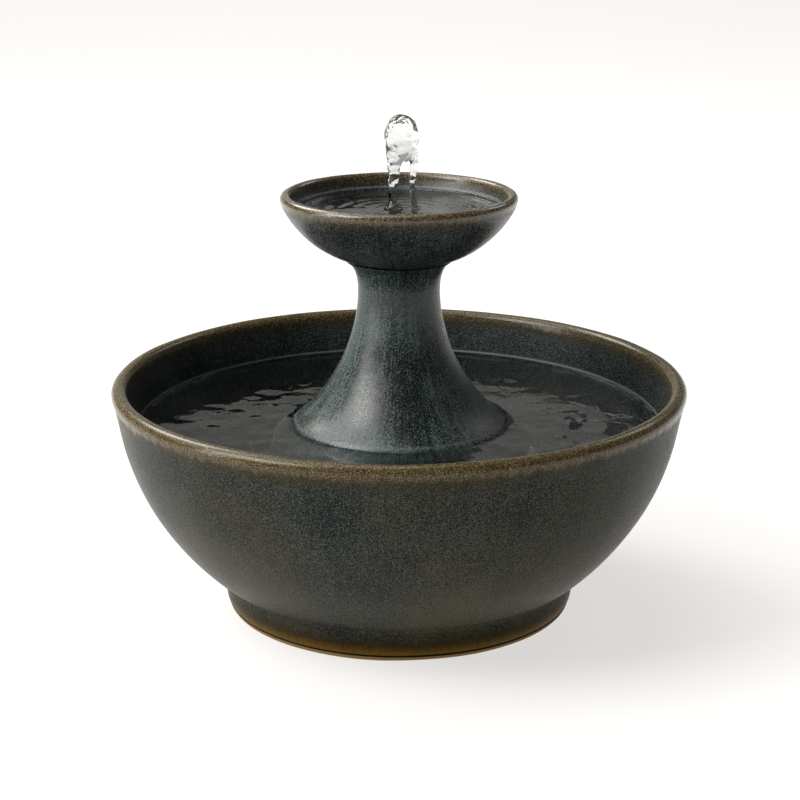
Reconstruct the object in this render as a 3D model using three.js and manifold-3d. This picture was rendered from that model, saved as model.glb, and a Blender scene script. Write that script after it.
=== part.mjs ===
// Tabletop water fountain: a glazed stoneware basin, a hollow pedestal and an upper bowl, with a small
// submersible pump inside the pedestal that sends water up a tube to a nozzle in the bowl.
// Millimetres, +Z up. The origin is on the table, under the middle of the basin's foot ring; -Y is the front.
import * as THREE from "three";
import { mergeVertices } from "three/addons/utils/BufferGeometryUtils.js";
import Module from "manifold-3d";

const wasm = await Module();
wasm.setup();

// ---------- driving dimensions ----------

const GAP = 0.3; // between pieces that rest on or in each other
const SIDES = 40; // facets round the pottery and the water
const SMALL_SIDES = 20; // facets round the pump's pieces and the fittings

const basin = {
  radius: 140, // widest, at the rim
  rimTop: 114,
  rimWidest: 111,
  wall: 8,
  arcRadius: 126, // the bowl's outside is one arc
  arcCentre: { r: 12.4, z: 116.2 },
  wallStraightens: 100, // above this height the wall leans out to the rim
  footRadius: 86.8,
  footHeight: 16,
  footWidth: 8.5,
  recess: 7, // depth of the hollow under the floor
  floor: 15, // height of the inside floor
  waterLevel: 91.5,
};

const pedestal = {
  footRadius: 64,
  skirtTop: 48, // the skirt is upright up to here
  wall: 6,
  neckWall: 5,
  lipRadius: 25.6,
  lipTop: 172.4,
  seatRadius: 19.3, // socket that takes the upper bowl's foot ring
  seatDepth: 7,
  notchWidth: 14,
  notchHeight: 12,
};

const bowl = {
  radius: 57,
  rimTop: 205.2,
  rimWidest: 202.2,
  wall: 5.2,
  arcRadius: 51.8,
  arcCentre: { r: 9.9, z: 222.6 },
  wallStraightens: 199,
  floor: 176.6, // height of the inside floor
  footBottom: 166.6,
  footOuter: 18.6,
  footInner: 13.6,
  holeRadius: 7.2,
  waterLevel: 197,
};

const jet = {
  stemX: -2.6,
  stemRadius: 2.2,
  legX: 8,
  legRadius: 1.6,
  bulbX: 1.4,
  bulbHeight: 229,
  bulbSize: [8.6, 5.6, 13.4],
};

const fitting = {
  flangeBottom: 178.8,
  flangeTop: 180.8,
  flangeRadius: 10.5,
  stemRadius: 4.7,
  boreRadius: 2.6,
  stemBottom: 152,
  spigotTop: 186,
};

const nozzle = { bottom: 181.1, shoulder: 187.5, top: 194.5, radius: 6.4, tipRadius: 3.7, boreRadius: 2.3 };
const nut = { bottom: 166, top: 170.2, cornerRadius: 10.4 };
const tube = { outer: 6.5, inner: 5.2, bottom: 63.4, top: 165.4 };

// The pump is drawn in a frame of its own: its origin is where the shaft's axis passes under the outlet,
// +Z runs along the shaft to the back of the pump and +Y is up.
const pump = {
  axisHeight: 46, // of the shaft above the table
  halfWidth: 20,
  bottom: -23.5,
  top: 16.5,
  front: -9,
  back: 38,
  shell: 2.3,
  corner: 4,
  chamberRadius: 12.2,
  chamberBack: 3,
  coverRadius: 15,
  coverDepth: 2.6,
  ringRadius: 13.8,
  ringSection: 0.55,
  wellRadius: 7.3,
  wellBack: 28,
  socketRadius: 3.6,
  socketBack: 31,
  sleeve: 1.2,
  pocketFront: 6,
  outletRadius: 4.8,
  outletBore: 2.6,
  outletHeight: 14,
};

const shaft = { radius: 1, front: -7.4, back: 29.6 };
const rotor = { radius: 6.5, front: 5, back: 26.5, bore: 1.4 };
const impeller = { radius: 10.6, hubRadius: 4, front: -4.6, disc: 1.2, back: 2.2, blades: 6, bladeWidth: 1.2 };
const stack = { front: 12, back: 26, outer: 15.5, slot: 9.5, poleSlot: 6, poleRadius: 9, top: 7.5, yokeTop: -13, yokeBottom: -17.4 };
const coil = { flange: 1, bobbinWall: 0.8, winding: 1.9 };
const intake = { front: -26, wall: 1.6, slotWidth: 3.6, slotHeight: 14, slotPitch: 8, slots: 3 };
const gate = { halfWidth: 15, halfHeight: 9, thickness: 2.2, standOff: 0.4, tab: 4.6 };
const plate = { thickness: 2.2, halfWidth: 17, earX: 25, earZ: [3, 29], earRadius: 5, holeRadius: 2.3 };
const sucker = { radius: 8, neckRadius: 1.9, buttonRadius: 3.2 };
const gland = { radius: 3, flangeRadius: 4.6, boreRadius: 1.7, height: -12 };

// ---------- materials ----------

function finish(color, roughness, metalness = 0, opacity = 1) {
  return new THREE.MeshStandardMaterial({ color, roughness, metalness, opacity, transparent: opacity < 1 });
}

const finishes = {
  glaze: finish(0x3c4447, 0.32),
  water: finish(0x9fb0b4, 0.03, 0, 0.35),
  pumpPlastic: finish(0x17181a, 0.45),
  clearVinyl: finish(0xcfd6d4, 0.2, 0, 0.5),
  blackRubber: finish(0x1d1d1d, 0.85),
  nylon: finish(0xd9d6cb, 0.5),
  laminations: finish(0x77797b, 0.4, 0.9),
  copper: finish(0xb1673a, 0.35, 0.9),
  ferrite: finish(0x2b2a2a, 0.6),
  ceramic: finish(0xe8e5dd, 0.35),
  resin: finish(0x0f1012, 0.25),
  foam: finish(0x232527, 0.95),
};

// ---------- shaping helpers ----------

// A closed three.js geometry as a manifold-3d solid.
function solid(geometry) {
  const bare = geometry.clone();
  bare.deleteAttribute("normal");
  bare.deleteAttribute("uv");
  const merged = mergeVertices(bare, 1e-4);
  const mesh = new wasm.Mesh({
    numProp: 3,
    vertProperties: merged.attributes.position.array,
    triVerts: new Uint32Array(merged.index.array),
  });
  return new wasm.Manifold(mesh);
}

// A manifold-3d solid as a three.js geometry.
function geometryOf(shape) {
  const mesh = shape.getMesh();
  const geometry = new THREE.BufferGeometry();
  geometry.setAttribute("position", new THREE.BufferAttribute(mesh.vertProperties, mesh.numProp));
  geometry.setIndex(new THREE.BufferAttribute(mesh.triVerts, 1));
  geometry.computeVertexNormals();
  return geometry;
}

function cut(body, ...tools) {
  return geometryOf(tools.reduce((left, tool) => left.subtract(solid(tool)), solid(body)));
}

function join(...bodies) {
  return geometryOf(bodies.map(solid).reduce((all, body) => all.add(body)));
}

function at(x, y, z, geometry) {
  return geometry.translate(x, y, z);
}

// A profile of [radius, height] points turned about +Z; it starts and ends on the axis or closes on itself,
// and runs up the outside.
function turned(profile, sides = SMALL_SIDES) {
  const points = profile.map(([r, z]) => new THREE.Vector2(r, z));
  return new THREE.LatheGeometry(points, sides).rotateX(Math.PI / 2);
}

// The same, turned about +Y.
function turnedUpright(profile, sides = SMALL_SIDES) {
  return new THREE.LatheGeometry(
    profile.map(([r, y]) => new THREE.Vector2(r, y)),
    sides,
  );
}

// A rod along Z, or a ring if it has a bore.
function rod(radius, low, high, bore = 0, sides = SMALL_SIDES) {
  const outside = [
    [bore, low],
    [radius, low],
    [radius, high],
    [bore, high],
  ];
  return turned(bore > 0 ? [...outside, [bore, low]] : outside, sides);
}

function block(x0, x1, y0, y1, z0, z1) {
  const box = new THREE.BoxGeometry(x1 - x0, y1 - y0, z1 - z0);
  return at((x0 + x1) / 2, (y0 + y1) / 2, (z0 + z1) / 2, box);
}

// A block whose four edges along Z are rounded.
function roundedBlock(x0, x1, y0, y1, z0, z1, corner) {
  const outline = new THREE.Shape();
  outline.absarc(x1 - corner, y1 - corner, corner, 0, Math.PI / 2);
  outline.absarc(x0 + corner, y1 - corner, corner, Math.PI / 2, Math.PI);
  outline.absarc(x0 + corner, y0 + corner, corner, Math.PI, 1.5 * Math.PI);
  outline.absarc(x1 - corner, y0 + corner, corner, 1.5 * Math.PI, 2 * Math.PI);
  outline.closePath();
  return at(0, 0, z0, new THREE.ExtrudeGeometry(outline, { depth: z1 - z0, bevelEnabled: false, curveSegments: 3 }));
}

// Points of a vessel's wall on an arc about its centre, between two heights.
function wallArc(vessel, radius, fromHeight, toHeight, steps) {
  const { r, z } = vessel.arcCentre;
  const from = Math.asin((fromHeight - z) / radius);
  const to = Math.asin((toHeight - z) / radius);
  return Array.from({ length: steps + 1 }, (_, i) => {
    const angle = THREE.MathUtils.lerp(from, to, i / steps);
    return [r + radius * Math.cos(angle), z + radius * Math.sin(angle)];
  });
}

// The rounded lip of a vessel, from its outside over the top to its inside.
function rim(vessel) {
  const middle = vessel.radius - vessel.wall / 2;
  const rise = vessel.rimTop - vessel.rimWidest;
  return [0, 40, 75, 105, 140, 180].map((degrees) => {
    const angle = THREE.MathUtils.degToRad(degrees);
    return [middle + (vessel.wall / 2) * Math.cos(angle), vessel.rimWidest + rise * Math.sin(angle)];
  });
}

// ---------- pottery ----------

function basinGeometry() {
  const { footRadius, footHeight, footWidth, recess, floor, wallStraightens } = basin;
  const inner = basin.arcRadius - basin.wall - 0.5;
  const recessRadius = footRadius - footWidth;
  const profile = [
    [0, recess],
    [recessRadius - 2, recess],
    [recessRadius, recess - 2],
    [recessRadius, 0],
    [footRadius - 2.2, 0],
    [footRadius - 0.6, 1.8],
    [footRadius, 5],
    [footRadius - 1, footHeight - 4],
    [footRadius + 0.3, footHeight - 1],
    ...wallArc(basin, basin.arcRadius, footHeight + 1.8, wallStraightens, 8),
    ...rim(basin),
    ...wallArc(basin, inner, basin.waterLevel, floor + 2, 7),
    [71, floor],
    [0, floor],
  ];
  return turned(profile, SIDES);
}

// The pedestal's outside, from the top of the upright skirt to the lip.
function pedestalCurve() {
  const { footRadius, skirtTop, lipRadius, lipTop } = pedestal;
  return new THREE.SplineCurve(
    [
      [footRadius, skirtTop],
      [footRadius - 1, 66],
      [footRadius - 4, 79],
      [53, basin.waterLevel],
      [43.3, 100],
      [34.1, 112],
      [26.4, 126],
      [22, 140],
      [19.8, 154],
      [20.1, 164],
      [22.9, 170],
      [lipRadius, lipTop],
    ].map(([r, z]) => new THREE.Vector2(r, z)),
  );
}

function pedestalGeometry() {
  const { footRadius, wall, neckWall, lipRadius, lipTop, seatRadius, seatDepth, notchWidth, notchHeight } = pedestal;
  const foot = basin.floor + GAP;
  const outside = pedestalCurve()
    .getPoints(20)
    .map(({ x, y }) => [x, y]);
  const inside = outside
    .filter(([, z], i) => i % 2 === 0 && z < lipTop - seatDepth - 4)
    .map(([r, z]) => [r - THREE.MathUtils.mapLinear(r, 20, footRadius, neckWall, wall), z - 1])
    .reverse();
  const neckBore = inside[0][0];
  const body = turned(
    [
      [footRadius - wall, foot],
      [footRadius, foot],
      ...outside,
      [lipRadius - 0.8, lipTop + 0.3],
      [seatRadius + 0.8, lipTop - 1.1],
      [seatRadius, lipTop - 1.8],
      [seatRadius, lipTop - seatDepth],
      [neckBore, lipTop - seatDepth - 2],
      ...inside,
      [footRadius - wall, foot],
    ],
    SIDES,
  );
  const reach = footRadius + 5;
  const arch = new THREE.Shape();
  arch.moveTo(-notchWidth / 2, foot - 5);
  arch.lineTo(notchWidth / 2, foot - 5);
  arch.lineTo(notchWidth / 2, foot + notchHeight - 4);
  arch.quadraticCurveTo(notchWidth / 2, foot + notchHeight, 0, foot + notchHeight);
  arch.quadraticCurveTo(-notchWidth / 2, foot + notchHeight, -notchWidth / 2, foot + notchHeight - 4);
  arch.closePath();
  const tunnel = () =>
    new THREE.ExtrudeGeometry(arch, { depth: 2 * reach, bevelEnabled: false, curveSegments: 4 })
      .translate(0, 0, -reach)
      .rotateX(Math.PI / 2);
  return cut(body, tunnel(), tunnel().rotateZ(Math.PI / 2));
}

function upperBowlGeometry() {
  const { arcRadius, arcCentre, wall, wallStraightens, waterLevel, floor } = bowl;
  const { footBottom, footOuter, footInner, holeRadius } = bowl;
  const inner = arcRadius - wall;
  const underside = arcCentre.z - arcRadius;
  const seat = arcCentre.z - Math.sqrt(arcRadius ** 2 - (footOuter - arcCentre.r) ** 2);
  return turned(
    [
      [holeRadius, underside],
      [footInner, underside],
      [footInner, footBottom + 0.6],
      [footInner + 0.6, footBottom],
      [footOuter - 0.6, footBottom],
      [footOuter, footBottom + 0.6],
      [footOuter, seat],
      ...wallArc(bowl, arcRadius, 173.4, wallStraightens, 6),
      ...rim(bowl),
      ...wallArc(bowl, inner, waterLevel + 1, floor + 0.5, 5),
      [holeRadius, floor],
      [holeRadius, underside],
    ],
    SIDES,
  );
}

// ---------- water ----------

function basinWaterGeometry() {
  const { waterLevel, floor, arcRadius, wall } = basin;
  const { footRadius, notchHeight } = pedestal;
  const outer = arcRadius - wall - 0.5 - GAP;
  const moat = footRadius + 2; // the water's inside stands off the pedestal's notches
  const inside = pedestalCurve()
    .getPoints(20)
    .filter(({ y }) => y < waterLevel - 1.5)
    .map(({ x, y }) => [x + 1.5 * GAP, y])
    .reverse();
  return turned(
    [
      [moat, floor + GAP],
      [70.4, floor + GAP],
      ...wallArc(basin, outer, floor + 2.4, waterLevel, 7),
      [53 + 2 * GAP, waterLevel],
      ...inside,
      [footRadius + 1.5 * GAP, floor + notchHeight + 6],
      [moat, floor + notchHeight + 3],
      [moat, floor + GAP],
    ],
    SIDES,
  );
}

function bowlWaterGeometry() {
  const { waterLevel, floor, arcRadius, wall } = bowl;
  const low = floor + 2.8;
  return turned(
    [
      [0, nozzle.top + GAP],
      [nozzle.tipRadius + GAP, nozzle.top + GAP],
      [nozzle.radius + 2 * GAP, nozzle.shoulder],
      [nozzle.radius + 2 * GAP, fitting.flangeTop + 2 * GAP],
      [fitting.flangeRadius + 1, fitting.flangeTop + 2 * GAP],
      [fitting.flangeRadius + 1, low],
      ...wallArc(bowl, arcRadius - wall - 2 * GAP, low, waterLevel, 5),
      [0, waterLevel],
    ],
    SIDES,
  );
}

// Water rises in the stem, rounds over in the bulb and falls back down the leg.
function waterJetGeometry() {
  const { stemX, stemRadius, legX, legRadius, bulbX, bulbHeight, bulbSize } = jet;
  const low = bowl.waterLevel + GAP;
  const stem = turned(
    [
      [0, low],
      [2 * stemRadius, low],
      [stemRadius, low + 6],
      [stemRadius, bulbHeight],
      [0, bulbHeight],
    ],
    12,
  );
  const leg = rod(legRadius, low, bulbHeight, 0, 12);
  const bulb = new THREE.SphereGeometry(1, 16, 12).rotateX(Math.PI / 2).scale(...bulbSize);
  return join(at(stemX, 0, 0, stem), at(legX, 0, 0, leg), at(bulbX, 0, bulbHeight, bulb));
}

// ---------- fittings in the upper bowl ----------

function grommetGeometry() {
  const { holeRadius, floor, arcCentre, arcRadius } = bowl;
  const inner = fitting.stemRadius + GAP;
  const top = fitting.flangeBottom - GAP;
  return turned([
    [inner, arcCentre.z - arcRadius + 0.2],
    [holeRadius - GAP, arcCentre.z - arcRadius + 0.2],
    [holeRadius - GAP, floor + GAP],
    [fitting.flangeRadius, floor + GAP],
    [fitting.flangeRadius, top],
    [inner, top],
    [inner, arcCentre.z - arcRadius + 0.2],
  ]);
}

function bulkheadFittingGeometry() {
  const { flangeBottom, flangeTop, flangeRadius, stemRadius, boreRadius, stemBottom, spigotTop } = fitting;
  return turned([
    [boreRadius, stemBottom],
    [stemRadius - 0.8, stemBottom],
    [stemRadius, stemBottom + 2],
    [stemRadius, flangeBottom],
    [flangeRadius, flangeBottom],
    [flangeRadius, flangeTop],
    [stemRadius, flangeTop],
    [stemRadius, spigotTop],
    [boreRadius, spigotTop],
    [boreRadius, stemBottom],
  ]);
}

function lockNutGeometry() {
  const { bottom, top, cornerRadius } = nut;
  return cut(rod(cornerRadius, bottom, top, 0, 6), rod(fitting.stemRadius + GAP, bottom - 1, top + 1));
}

function jetNozzleGeometry() {
  const { bottom, shoulder, top, radius, tipRadius, boreRadius } = nozzle;
  const socket = fitting.stemRadius + GAP;
  const socketTop = fitting.spigotTop + GAP;
  return turned([
    [socket, bottom],
    [radius, bottom],
    [radius, shoulder],
    [tipRadius, top],
    [boreRadius, top],
    [boreRadius, socketTop + 2],
    [socket, socketTop],
    [socket, bottom],
  ]);
}

function riserTubeGeometry() {
  return rod(tube.outer, tube.bottom, tube.top, tube.inner);
}

// ---------- pump ----------

function pumpHousingGeometry() {
  const { halfWidth, bottom, top, front, back, shell, corner } = pump;
  const { outletRadius, outletBore, outletHeight, wellRadius, wellBack, sleeve, ringRadius, ringSection } = pump;
  const groove = ringSection + GAP;
  const body = roundedBlock(-halfWidth, halfWidth, bottom, top, front, back, corner);
  const outlet = turnedUpright([
    [0, top - 1],
    [outletRadius - 0.5, top - 1],
    [outletRadius - 0.5, top + outletHeight - 8],
    [outletRadius, top + outletHeight - 7.5],
    [outletRadius - 0.6, top + outletHeight - 4],
    [outletRadius, top + outletHeight - 3.5],
    [outletRadius - 0.8, top + outletHeight],
    [0, top + outletHeight],
  ]);
  const sleeveRadius = wellRadius + sleeve;
  const sleeveBack = pump.socketBack + sleeve;
  const pocket = cut(
    block(-halfWidth + shell, halfWidth - shell, bottom + shell, top - shell, pump.pocketFront, back + 1),
    rod(sleeveRadius, pump.pocketFront - 1, sleeveBack),
  );
  return cut(
    join(body, outlet),
    rod(pump.coverRadius, front - 1, front + pump.coverDepth, 0, 32),
    at(0, 0, front + pump.coverDepth, rod(ringRadius + groove, -1, 1.5, ringRadius - groove)),
    rod(pump.chamberRadius, front, pump.chamberBack, 0, 32),
    rod(wellRadius, pump.chamberBack - 1, wellBack),
    rod(pump.socketRadius, wellBack - 1, pump.socketBack, 0, 16),
    pocket,
    turnedUpright([[0, pump.chamberRadius - 4], [outletBore, pump.chamberRadius - 4], [outletBore, 40], [0, 40]], 16),
  );
}

function footPlateGeometry() {
  const { thickness, halfWidth, earX, earZ, earRadius, holeRadius } = plate;
  const high = pump.bottom - GAP;
  const low = high - thickness;
  const slab = block(-halfWidth, halfWidth, low, high, -2, pump.back - 4);
  const upright = (radius, y0, y1) => turnedUpright([[0, y0], [radius, y0], [radius, y1], [0, y1]], 16);
  const arms = earZ.map((z) => block(-earX, earX, low, high, z - earRadius, z + earRadius));
  const spots = earZ.flatMap((z) => [-earX, earX].map((x) => [x, z]));
  const ears = spots.map(([x, z]) => at(x, 0, z, upright(earRadius, low, high)));
  const holes = spots.map(([x, z]) => at(x, 0, z, upright(holeRadius, low - 1, high + 1)));
  return cut(join(slab, ...arms, ...ears), ...holes);
}

// One suction cup, standing on the basin's floor with its button above the foot plate.
function suctionCupGeometry() {
  const { radius, neckRadius, buttonRadius } = sucker;
  const floor = basin.floor + GAP - pump.axisHeight;
  const plateTop = pump.bottom - GAP;
  const plateLow = plateTop - plate.thickness;
  return turnedUpright(
    [
      [0, floor + 1.2],
      [radius - 2, floor + 0.5],
      [radius, floor],
      [radius - 0.4, floor + 0.9],
      [neckRadius + 1.6, plateLow - GAP],
      [neckRadius, plateLow - GAP],
      [neckRadius, plateTop + GAP],
      [buttonRadius, plateTop + GAP],
      [buttonRadius - 0.6, plateTop + 2.4],
      [0, plateTop + 2.4],
    ],
    12,
  );
}

function statorCoreGeometry() {
  const { front, back, outer, slot, poleSlot, poleRadius, top, yokeTop, yokeBottom } = stack;
  return cut(
    block(-outer, outer, yokeBottom, top, front, back),
    block(-slot, slot, yokeTop, -8.6, front - 1, back + 1),
    block(-poleSlot, poleSlot, -9, top + 1, front - 1, back + 1),
    rod(poleRadius, front - 1, back + 1),
  );
}

// A rectangular sleeve round the core's yoke: margins are how far its inside and outside stand off the yoke.
function yokeSleeve(x, inside, outside) {
  const { front, back, yokeTop, yokeBottom } = stack;
  const around = (half, margin) =>
    block(-half, half, yokeBottom - margin, yokeTop + margin, front - margin, back + margin);
  return cut(around(x, outside), around(x + 1, inside));
}

function coilBobbinGeometry() {
  const half = stack.slot - GAP;
  const reach = GAP + coil.bobbinWall;
  const flangeReach = reach + GAP + coil.winding + 0.2;
  const flange = yokeSleeve(coil.flange / 2, GAP, flangeReach);
  return join(
    yokeSleeve(half, GAP, reach),
    at(-half + coil.flange / 2, 0, 0, flange.clone()),
    at(half - coil.flange / 2, 0, 0, flange),
  );
}

function coilWindingGeometry() {
  const inside = 2 * GAP + coil.bobbinWall;
  return yokeSleeve(stack.slot - 2 * GAP - coil.flange, inside, inside + coil.winding);
}

function epoxyPottingGeometry() {
  const { halfWidth, bottom, top, shell, back } = pump;
  const inset = shell + GAP;
  return cut(
    block(-halfWidth + inset, halfWidth - inset, bottom + inset, top - inset, back - 4.2, back - GAP),
    at(0, gland.height, 0, rod(gland.radius + GAP, back - 6, back + 1)),
  );
}

function cordGlandGeometry() {
  const { radius, flangeRadius, boreRadius, height } = gland;
  const { back } = pump;
  return at(
    0,
    height,
    0,
    turned([
      [boreRadius, back - 4],
      [radius, back - 4],
      [radius, back],
      [flangeRadius, back],
      [flangeRadius, back + 1.6],
      [radius + 0.5, back + 2.4],
      [radius - 0.2, back + 6],
      [boreRadius, back + 6],
      [boreRadius, back - 4],
    ], 16),
  );
}

function impellerGeometry() {
  const { radius, hubRadius, front, disc, back, blades, bladeWidth } = impeller;
  const hub = rod(hubRadius, front, rotor.front - GAP, 0, SMALL_SIDES);
  const backDisc = rod(radius, back - disc, back, 0, SMALL_SIDES);
  const vanes = Array.from({ length: blades }, (_, i) =>
    block(hubRadius - 1, radius - 0.3, -bladeWidth / 2, bladeWidth / 2, front, back - disc + 0.2).rotateZ(
      (i * 2 * Math.PI) / blades,
    ),
  );
  return cut(join(hub, backDisc, ...vanes), rod(rotor.bore, front - 1, rotor.front + 1, 0, 12));
}

function frontBushingGeometry() {
  return turned([[0, -8.7], [2.3, -8.7], [2.3, -5.6], [1.35, -5.6], [1.35, -7.7], [0, -7.7]], 16);
}

function rearBushingGeometry() {
  const { wellBack, socketBack, socketRadius } = pump;
  const outer = socketRadius - GAP;
  return turned([[1.35, wellBack + 0.2], [outer, wellBack + 0.2], [outer, socketBack - GAP], [0, socketBack - GAP],
    [0, shaft.back + GAP], [1.35, shaft.back + GAP], [1.35, wellBack + 0.2]], 16);
}

function voluteCoverGeometry() {
  const { front, coverRadius, coverDepth } = pump;
  const back = front + coverDepth - GAP;
  const eye = rod(coverRadius - GAP, front, back, 6.5, 32);
  const boss = rod(3.7, front, back + 1, 2.6, 16);
  const arms = [90, 210, 330].map((degrees) =>
    block(3.2, 7, -0.7, 0.7, front, back).rotateZ(THREE.MathUtils.degToRad(degrees)),
  );
  return join(eye, boss, ...arms);
}

function voluteRingGeometry() {
  const { front, coverDepth, ringRadius, ringSection } = pump;
  return at(0, 0, front + coverDepth + ringSection + 0.1, new THREE.TorusGeometry(ringRadius, ringSection, 6, SMALL_SIDES));
}

function intakeCoverGeometry() {
  const { halfWidth, bottom, top, front, corner } = pump;
  const { wall, slotWidth, slotHeight, slotPitch, slots } = intake;
  const back = front - GAP;
  const shell = roundedBlock(-halfWidth, halfWidth, bottom, top, intake.front, back, corner);
  const hollow = roundedBlock(
    -halfWidth + wall, halfWidth - wall, bottom + wall, top - wall, intake.front + wall, back + 1, corner - wall,
  );
  const railBack = intake.front + 0.2;
  const railFront = intake.front - gate.standOff - gate.thickness - GAP;
  const rails = [-1, 1].flatMap((side) => {
    const near = side * (gate.halfHeight + GAP);
    const far = side * (gate.halfHeight + 2.6);
    const lip = side * (gate.halfHeight - 1.4);
    return [
      block(-17, 17, Math.min(near, far), Math.max(near, far), railFront - 1.2, railBack),
      block(-17, 17, Math.min(lip, far), Math.max(lip, far), railFront - 1.2, railFront),
    ];
  });
  const openings = Array.from({ length: slots }, (_, i) => {
    const x = (i - (slots - 1) / 2) * slotPitch;
    return block(x - slotWidth / 2, x + slotWidth / 2, -slotHeight / 2, slotHeight / 2, intake.front - 1, intake.front + 3);
  });
  return cut(join(shell, ...rails), hollow, ...openings);
}

function filterSpongeGeometry() {
  const { halfWidth, bottom, top, front } = pump;
  const inset = intake.wall + 0.5;
  return roundedBlock(
    -halfWidth + inset, halfWidth - inset, bottom + inset, top - inset, intake.front + inset, front - 1, 2,
  );
}

// The sliding gate on the intake: its slots match the cover's when open.
function flowRegulatorGeometry() {
  const { halfWidth, halfHeight, thickness, standOff, tab } = gate;
  const back = intake.front - standOff;
  const front = back - thickness;
  const openings = Array.from({ length: intake.slots }, (_, i) => {
    const x = (i - (intake.slots - 1) / 2) * intake.slotPitch;
    return block(x - intake.slotWidth / 2, x + intake.slotWidth / 2, -6.4, 6.4, front - 1, back + 1);
  });
  const thumbTab = block(10.6, 13.4, -4, 4, front - tab, back - 0.5);
  return cut(join(block(-halfWidth, halfWidth, -halfHeight, halfHeight, front, back), thumbTab), ...openings);
}

// ---------- assembly ----------

function piece(name, geometry, material) {
  const mesh = new THREE.Mesh(geometry, material);
  mesh.name = name;
  return mesh;
}

function pumpGroup() {
  const group = new THREE.Group();
  group.position.z = pump.axisHeight;
  group.rotation.set(Math.PI / 2, Math.PI, 0); // the shaft lies along +Y of the part, back of the pump to the rear
  group.add(
    piece("pump_housing", pumpHousingGeometry(), finishes.pumpPlastic),
    piece("pump_foot_plate", footPlateGeometry(), finishes.pumpPlastic),
    piece("stator_core", statorCoreGeometry(), finishes.laminations),
    piece("coil_bobbin", coilBobbinGeometry(), finishes.nylon),
    piece("coil_winding", coilWindingGeometry(), finishes.copper),
    piece("epoxy_potting", epoxyPottingGeometry(), finishes.resin),
    piece("cord_gland", cordGlandGeometry(), finishes.blackRubber),
    piece("rotor_magnet", rod(rotor.radius, rotor.front, rotor.back, rotor.bore), finishes.ferrite),
    piece("rotor_shaft", rod(shaft.radius, shaft.front, shaft.back, 0, 12), finishes.ceramic),
    piece("impeller", impellerGeometry(), finishes.nylon),
    piece("front_bushing", frontBushingGeometry(), finishes.blackRubber),
    piece("rear_bushing", rearBushingGeometry(), finishes.blackRubber),
    piece("volute_cover", voluteCoverGeometry(), finishes.pumpPlastic),
    piece("volute_o_ring", voluteRingGeometry(), finishes.blackRubber),
    piece("intake_cover", intakeCoverGeometry(), finishes.pumpPlastic),
    piece("filter_sponge", filterSpongeGeometry(), finishes.foam),
    piece("flow_regulator", flowRegulatorGeometry(), finishes.nylon),
  );
  const spots = plate.earZ.flatMap((z) => [-plate.earX, plate.earX].map((x) => [x, z]));
  spots.forEach(([x, z], i) => {
    const cup = piece(`suction_cup_${i + 1}`, suctionCupGeometry(), finishes.blackRubber);
    cup.position.set(x, 0, z);
    group.add(cup);
  });
  return group;
}

const fountain = new THREE.Group();
fountain.add(
  piece("basin", basinGeometry(), finishes.glaze),
  piece("pedestal", pedestalGeometry(), finishes.glaze),
  piece("upper_bowl", upperBowlGeometry(), finishes.glaze),
  piece("basin_water", basinWaterGeometry(), finishes.water),
  piece("bowl_water", bowlWaterGeometry(), finishes.water),
  piece("water_jet", waterJetGeometry(), finishes.water),
  piece("bowl_grommet", grommetGeometry(), finishes.blackRubber),
  piece("bulkhead_fitting", bulkheadFittingGeometry(), finishes.pumpPlastic),
  piece("lock_nut", lockNutGeometry(), finishes.pumpPlastic),
  piece("jet_nozzle", jetNozzleGeometry(), finishes.pumpPlastic),
  piece("riser_tube", riserTubeGeometry(), finishes.clearVinyl),
  pumpGroup(),
);

export default fountain;
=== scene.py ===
"""Models a glazed stoneware tabletop fountain, its water and its pump round a fixed CAD frame."""

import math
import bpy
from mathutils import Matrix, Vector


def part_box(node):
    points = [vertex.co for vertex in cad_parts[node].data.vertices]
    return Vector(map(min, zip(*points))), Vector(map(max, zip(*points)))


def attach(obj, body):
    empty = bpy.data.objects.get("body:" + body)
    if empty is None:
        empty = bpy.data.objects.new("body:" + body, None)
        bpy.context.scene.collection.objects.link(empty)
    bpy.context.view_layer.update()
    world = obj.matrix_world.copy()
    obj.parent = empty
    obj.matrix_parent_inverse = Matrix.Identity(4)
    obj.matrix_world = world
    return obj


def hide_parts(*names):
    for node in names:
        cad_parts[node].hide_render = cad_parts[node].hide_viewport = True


bl_info = {
    "name": "Tabletop Water Fountain",
    "version": (1, 0, 0),
    "blender": (4, 5, 0),
    "location": "3D View > Sidebar > Fountain",
    "description": "Builds a stoneware fountain with its water, pump and studio",
    "category": "Add Mesh",
}

import bpy
from bpy.props import FloatProperty, FloatVectorProperty, IntProperty, PointerProperty
from mathutils import Vector

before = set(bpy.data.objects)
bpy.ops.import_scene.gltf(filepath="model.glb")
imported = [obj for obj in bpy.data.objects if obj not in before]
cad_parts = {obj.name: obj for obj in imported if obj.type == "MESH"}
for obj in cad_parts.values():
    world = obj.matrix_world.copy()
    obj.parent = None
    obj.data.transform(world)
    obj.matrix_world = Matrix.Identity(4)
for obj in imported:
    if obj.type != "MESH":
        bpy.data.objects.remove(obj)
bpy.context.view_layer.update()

MM = 0.001

# The highest corner of each node's box.
BASIN_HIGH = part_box("basin")[1]
BOWL_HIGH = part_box("upper_bowl")[1]
BASIN_WATER_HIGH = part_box("basin_water")[1]
BOWL_WATER_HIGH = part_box("bowl_water")[1]
JET_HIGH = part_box("water_jet")[1]

# The round walls, in millimetres: centre as [radius, height], and the radii of their two faces.
BASIN_CENTRE, BASIN_OUTER_ARC, BASIN_INNER_ARC = (12.4, 116.2), 126, 117.5
BOWL_CENTRE, BOWL_OUTER_ARC, BOWL_INNER_ARC = (9.9, 222.6), 51.8, 46.4
# Water reaches this far into the wall, so that no gap shows.
WATER_OVERLAP = 0.5

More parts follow.
